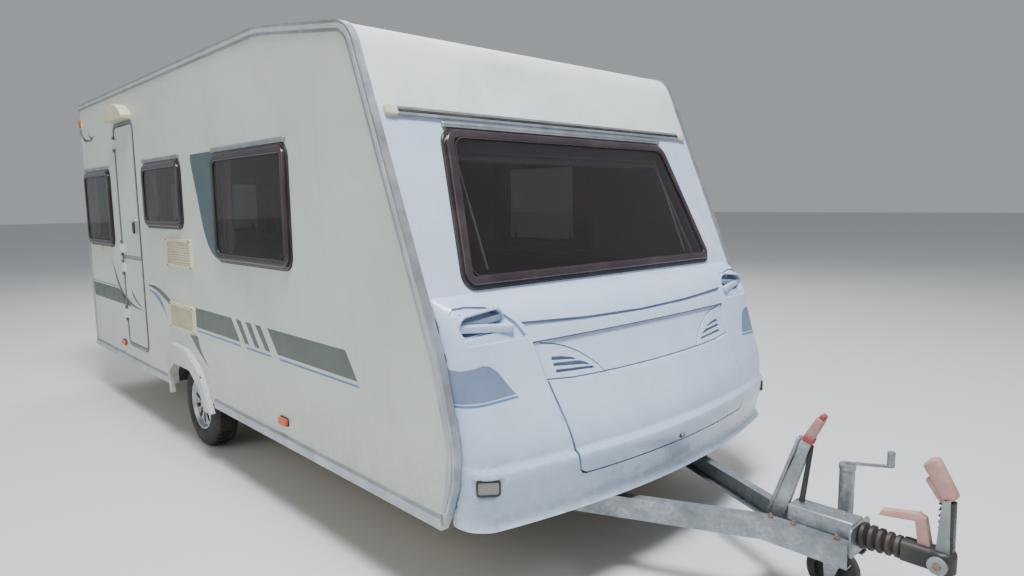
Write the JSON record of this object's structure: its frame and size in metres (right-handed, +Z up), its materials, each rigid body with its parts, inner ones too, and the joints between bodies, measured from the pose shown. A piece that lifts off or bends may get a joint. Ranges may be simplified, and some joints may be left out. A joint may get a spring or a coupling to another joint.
{
  "type": "single-axle travel caravan",
  "caption": "Touring trailer with a hollow cabin, sloping front window, split entrance door, front locker, drawbar with ball coupling and a swivelling nose wheel.",
  "frame": {"origin": "on the floor under the middle of the whole vehicle", "axes": "+X forwards to the coupling, +Y to the left, +Z up"},
  "size_m": [6.758, 2.404, 2.599],
  "materials": {
    "side_sheet": "satin off-white coated sandwich panel",
    "white_sheet": "satin white coated sandwich panel",
    "white_moulding": "white moulded plastic, weathered",
    "white_plastic": "white moulded plastic",
    "trim_aluminium": "extruded, dull",
    "black_plastic": "moulded",
    "window_rim": "smoked acrylic rim",
    "tinted_acrylic": "smoked acrylic",
    "cream_plastic": "yellowed moulded plastic",
    "orange_lens": "lens",
    "clear_lens": "lens",
    "red_lens": "lens",
    "plywood": "laminated ply",
    "seat_fabric": "woven",
    "curtain_fabric": "thin woven",
    "alloy": "cast and painted",
    "tyre": "worn",
    "nose_rubber": "solid rubber",
    "black_rubber": "ribbed",
    "faded_grip": "sun-faded plastic",
    "coupling_iron": "grey paint",
    "dark_steel": "black paint",
    "galvanised_steel": "hot-dip galvanised"
  },
  "bodies": {
    "van": {"awning_lamp": "cream_plastic", "axle_tube": "galvanised_steel", "bellows": "black_rubber", "chassis_rails": "galvanised_steel", "corner_trims": "trim_aluminium", "coupling_head": "coupling_iron", "coupling_levers": "faded_grip", "coupling_shaft": "dark_steel", "cross_members": "galvanised_steel", "curtains": "curtain_fabric", "cushions": "seat_fabric", "door_frame": "trim_aluminium", "drawbar": "galvanised_steel", "end_window_frames": "window_rim", "end_window_panes": "tinted_acrylic", "floor": "plywood", "fridge_cabinet": "plywood", "fridge_vents": "cream_plastic", "front_lamps": "clear_lens", "front_panel": "white_moulding", "front_seats": "plywood", "front_strip": "trim_aluminium", "front_wall": "white_moulding", "grab_handles": "white_moulding", "handbrake": "galvanised_steel", "kitchen_block": "plywood", "locker_box": "plywood", "marker_lamps": "orange_lens", "nose_clamp": "galvanised_steel", "nose_tube": "galvanised_steel", "overrun_housing": "galvanised_steel", "rear_bed": "plywood", "rear_bumper": "white_plastic", "rear_lamps": "red_lens", "rear_wall": "side_sheet", "roof": "white_sheet", "roof_hatches": "cream_plastic", "side_wall_left": "side_sheet", "side_wall_right": "side_sheet", "side_window_frames": "window_rim", "side_window_panes": "tinted_acrylic", "sills": "trim_aluminium", "steady_brackets": "galvanised_steel", "swing_arms": "dark_steel", "wheel_arches": "white_plastic", "wheel_boxes": "black_plastic"},
    "wheel_right": {"rim_right": "alloy", "tyre_right": "tyre"},
    "wheel_left": {"rim_left": "alloy", "tyre_left": "tyre"},
    "door_upper": {"door_upper": "side_sheet"},
    "door_lower": {"door_lower": "side_sheet"},
    "locker_lid": {"locker_lid": "white_moulding"},
    "nose_swivel": {"nose_fork": "galvanised_steel"},
    "nose_wheel": {"nose_wheel": "nose_rubber"},
    "steady_front_right": {"steady_front_right": "galvanised_steel"},
    "steady_front_left": {"steady_front_left": "galvanised_steel"},
    "steady_rear_right": {"steady_rear_right": "galvanised_steel"},
    "steady_rear_left": {"steady_rear_left": "galvanised_steel"}
  },
  "joints": [
    {"name": "wheel_right_spin", "type": "hinge", "parent": "van", "child": "wheel_right", "pos_m": [-0.925, -1, 0.298], "axis": [0, 1, 0], "continuous": true},
    {"name": "wheel_left_spin", "type": "hinge", "parent": "van", "child": "wheel_left", "pos_m": [-0.925, 1, 0.298], "axis": [0, 1, 0], "continuous": true},
    {"name": "door_upper_hinge", "type": "hinge", "parent": "van", "child": "door_upper", "pos_m": [-2.262, -1.162, 1.74], "axis": [0, 0, -1], "range_deg": [0, 165]},
    {"name": "door_lower_hinge", "type": "hinge", "parent": "van", "child": "door_lower", "pos_m": [-2.262, -1.162, 0.99], "axis": [0, 0, -1], "range_deg": [0, 165]},
    {"name": "locker_lid_hinge", "type": "hinge", "parent": "van", "child": "locker_lid", "pos_m": [2.024, 0, 1.092], "axis": [0, -1, 0], "range_deg": [0, 75]},
    {"name": "nose_swivel", "type": "hinge", "parent": "van", "child": "nose_swivel", "pos_m": [2.925, 0.158, 0.3], "axis": [0, 0, 1], "continuous": true},
    {"name": "nose_wheel_spin", "type": "hinge", "parent": "nose_swivel", "child": "nose_wheel", "pos_m": [2.887, 0.158, 0.105], "axis": [0, 1, 0], "continuous": true},
    {"name": "steady_front_right_hinge", "type": "hinge", "parent": "van", "child": "steady_front_right", "pos_m": [1.3, -0.532, 0.352], "axis": [0, -1, 0], "range_deg": [0, 46]},
    {"name": "steady_front_left_hinge", "type": "hinge", "parent": "van", "child": "steady_front_left", "pos_m": [1.3, 0.532, 0.352], "axis": [0, -1, 0], "range_deg": [0, 46]},
    {"name": "steady_rear_right_hinge", "type": "hinge", "parent": "van", "child": "steady_rear_right", "pos_m": [-2.9, -0.532, 0.352], "axis": [0, 1, 0], "range_deg": [0, 46]},
    {"name": "steady_rear_left_hinge", "type": "hinge", "parent": "van", "child": "steady_rear_left", "pos_m": [-2.9, 0.532, 0.352], "axis": [0, 1, 0], "range_deg": [0, 46]}
  ]
}
